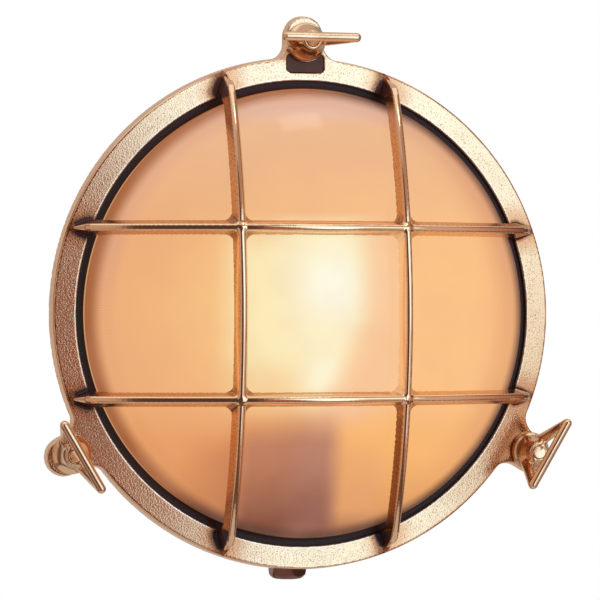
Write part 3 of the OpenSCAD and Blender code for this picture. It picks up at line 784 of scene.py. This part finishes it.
def nut_sdf(p):
    a, b, z = p[:, 0], p[:, 1], p[:, 2]
    plate = cut(loop_table(b, z), np.abs(a) - 2.15, 2.1)
    d = join(nut_table(np.hypot(a, b), z), plate, 1.3)
    return np.maximum(d, np.minimum(3.05 - np.hypot(a, b), 15.0 - z))


nut_v, nut_q = surface(nut_sdf, (-10.2, -19.0, -0.8), (10.2, 19.0, 31.4), 0.34)
_, g = slope(nut_sdf, nut_v)
nut_v = nut_v - g * 0.02


def turned(p, stud, h0):
    n = math.hypot(*stud)
    c, s = stud[0] / n, stud[1] / n
    return np.stack([p[:, 0] * c - p[:, 1] * s + stud[0], p[:, 0] * s + p[:, 1] * c + stud[1], p[:, 2] + h0], -1)


def threaded(r, depth, pitch, h0, h1, n=40, per=10):
    """A threaded rod along h, with a small chamfer at its front end."""
    m = int((h1 - h0) / pitch * per)
    z = np.linspace(h0, h1, m + 1)
    a = np.arange(n) * 2 * math.pi / n
    phase = (z[:, None] / pitch + a[None, :] / (2 * math.pi)) % 1.0
    rr = r - depth * (1 - np.abs(2 * phase - 1)) ** 1.2
    rr = np.minimum(rr, r - 0.4 * step01(z, h1 - 0.5, h1)[:, None])
    v = np.stack([rr * np.cos(a), rr * np.sin(a), np.repeat(z[:, None], n, 1)], -1).reshape(-1, 3)
    i, j = np.meshgrid(np.arange(m), np.arange(n), indexing="ij")
    j2 = (j + 1) % n
    q = np.stack([i * n + j, i * n + j2, (i + 1) * n + j2, (i + 1) * n + j], -1).reshape(-1, 4)
    v = np.concatenate([v, [[0, 0, h0], [0, 0, h1 + 0.0]]])
    s = np.arange(n)
    s2 = (s + 1) % n
    low = np.stack([s2, s, np.full(n, len(v) - 2)], -1)
    top = np.stack([m * n + s, m * n + s2, np.full(n, len(v) - 1)], -1)
    return v, [q, low, top]


for side, stud in STUDS.items():
    wing = make(f"wing_{side}", turned(nut_v, stud, 63.4), nut_q, f"{side}_nut", [f"wing_nut_{side}"], polished)
    n = turned(slope(nut_sdf, nut_v, 0.45)[1], stud, 0.0) - [stud[0], stud[1], 0.0]
    wing.data.normals_split_custom_set_from_vertices(np.stack([n[:, 0], -n[:, 2], n[:, 1]], -1))
    v, f = threaded(2.99, 0.5, 1.0, 44.8, 77.3)
    v = v + np.array([stud[0], stud[1], 0.0])
    make(f"rod_{side}", v, outward(v, f), "housing", [f"stud_{side}"], polished, sharp=50)

# ---------------------------------------------------------------- CAD nodes that keep their shape
FINISH = {
    "back_casting": cast_back, "washer_top": polished, "washer_left": polished, "washer_right": polished,
    "gland_body": dark_brass, "gland_nut": dark_brass, "gland_washer": rubber_mat, "gland_seal": rubber_mat,
    "lampholder_bracket": steel, "bracket_screws": steel, "lampholder_screws": steel, "terminal_screws": steel, "block_screws": steel,
    "lampholder_body": porcelain_mat, "lampholder_shell": bright_brass, "lampholder_contact": bright_brass,
    "terminal_clamps": bright_brass, "earth_screw": bright_brass, "bulb": lamp(), "terminal_block": plastic_mat,
    "live_lead": sleeve("sleeve_white", (0.80, 0.77, 0.70)), "neutral_lead": sleeve("sleeve_blue", (0.10, 0.17, 0.36)),
}
for name, material in FINISH.items():
    obj = frame["nodes"][name]
    obj.data.materials.clear()
    obj.data.materials.append(material)

# ---------------------------------------------------------------- stage and light
floor_mesh = bpy.data.meshes.new("floor")
n = 96
ring = [(2.6 * math.cos(2 * math.pi * k / n), 2.6 * math.sin(2 * math.pi * k / n), -2.6) for k in range(n)]
floor_mesh.from_pydata(ring, [], [list(range(n))])
floor = bpy.data.objects.new("floor", floor_mesh)
scene.collection.objects.link(floor)
pale = Mat("pale_floor", Roughness=0.7)
pale.set("Base Color", pale.mix(pale.noise(3, 3.0, 0.5).smooth(0.3, 0.7) * 0.3, (0.86, 0.86, 0.85), (0.82, 0.82, 0.81)))
floor_mesh.materials.append(pale.mat)


def softbox(name, azimuth, elevation, distance, width, height, power, colour=(1, 1, 1)):
    """A square light that faces the object. Azimuth 0 is in front of it, positive to the right."""
    data = bpy.data.lights.new(name, "AREA")
    data.shape = "RECTANGLE"
    data.size, data.size_y = width, height
    data.energy = power
    data.color = colour
    obj = bpy.data.objects.new(name, data)
    scene.collection.objects.link(obj)
    a, e = math.radians(azimuth), math.radians(elevation)
    pos = np.array([math.sin(a) * math.cos(e), -math.cos(a) * math.cos(e), math.sin(e)]) * distance
    obj.location = pos + np.array([0, -0.05, 0])
    obj.rotation_euler = (math.pi / 2 - e, 0, a)
    return obj


softbox("softbox_top", 17, 47, 2.4, 0.40, 0.16, 1.0)

world_data = bpy.data.worlds.new("studio")
scene.world = world_data
world_data.use_nodes = True
wt = world_data.node_tree
wt.nodes.clear()
coord = wt.nodes.new("ShaderNodeTexCoord")
split = wt.nodes.new("ShaderNodeSeparateXYZ")
wt.links.new(coord.outputs["Generated"], split.inputs[0])
wx, wy, wz = [Val(wt, split.outputs[k]) for k in range(3)]
az = wt.nodes.new("ShaderNodeMath")
az.operation = "ARCTAN2"
put(wt, az.inputs[0], wx)
put(wt, az.inputs[1], -wy)
az = Val(wt, az.outputs[0]) * (180 / math.pi)
el = wz.op("ARCSINE") * (180 / math.pi)


def wmix(fac, a, b):
    node = wt.nodes.new("ShaderNodeMix")
    node.data_type = "RGBA"
    put(wt, node.inputs[0], fac)
    put(wt, node.inputs[6], a)
    put(wt, node.inputs[7], b)
    return node.outputs[2]


# a dim room with a tall light panel in front on the right, a strip beside it, a panel overhead and a lit back wall
room, panel = (0.095, 0.055, 0.048), (1.2, 1.7, 2.15)
edge = az - 8.6 + el.max(0.0) * 0.3 + el.min(0.0) * 0.22
sky = wmix(az.smooth(-1, 2.5) * az.smooth(78, 62), room, (0.375, 0.179, 0.134))
panel = wmix(az.smooth(21, 28), panel, wmix(el.smooth(1.5, 5), (0.98, 1.1, 1.18), (1.05, 1.4, 1.65)))
panel = wmix(az.smooth(21.5, 25) * el.smooth(-1, -5), panel, (0.60, 0.50, 0.42))
sky = wmix(az.smooth(-30, -35) * az.smooth(-118, -100), sky, (0.56, 0.41, 0.36))
sky = wmix(az.smooth(38, 41) * az.smooth(68, 46), sky, (0.64, 0.49, 0.46))
sky = wmix(az.smooth(84, 98) * az.smooth(128, 114), sky, (0.50, 0.46, 0.44))
sky = wmix(az.abs().smooth(128, 142), sky, (0.60, 0.52, 0.47))
sky = wmix(el.smooth(22, 26) * az.smooth(-12, 4) * az.smooth(60, 44), sky, (0.45, 0.30, 0.23))
sky = wmix(el.smooth(31, 37) * az.smooth(6, -2), sky, (0.62, 0.50, 0.52))
sky = wmix(edge.smooth(-3.5, 3.0) * az.smooth(40.5, 38.0) * el.smooth(24, 21) * el.smooth(-31, -26), sky, panel)
sky = wmix(el.smooth(44, 50) * az.abs().smooth(130, 100), sky, (1.0, 1.05, 1.05))
sky = wmix(el.smooth(-31, -38), sky, (0.13, 0.075, 0.055))
path = wt.nodes.new("ShaderNodeLightPath")
sky = wmix(path.outputs["Is Camera Ray"], sky, (1.0, 1.0, 1.0))
background = wt.nodes.new("ShaderNodeBackground")
wt.links.new(sky, background.inputs["Color"])
output = wt.nodes.new("ShaderNodeOutputWorld")
wt.links.new(background.outputs[0], output.inputs["Surface"])
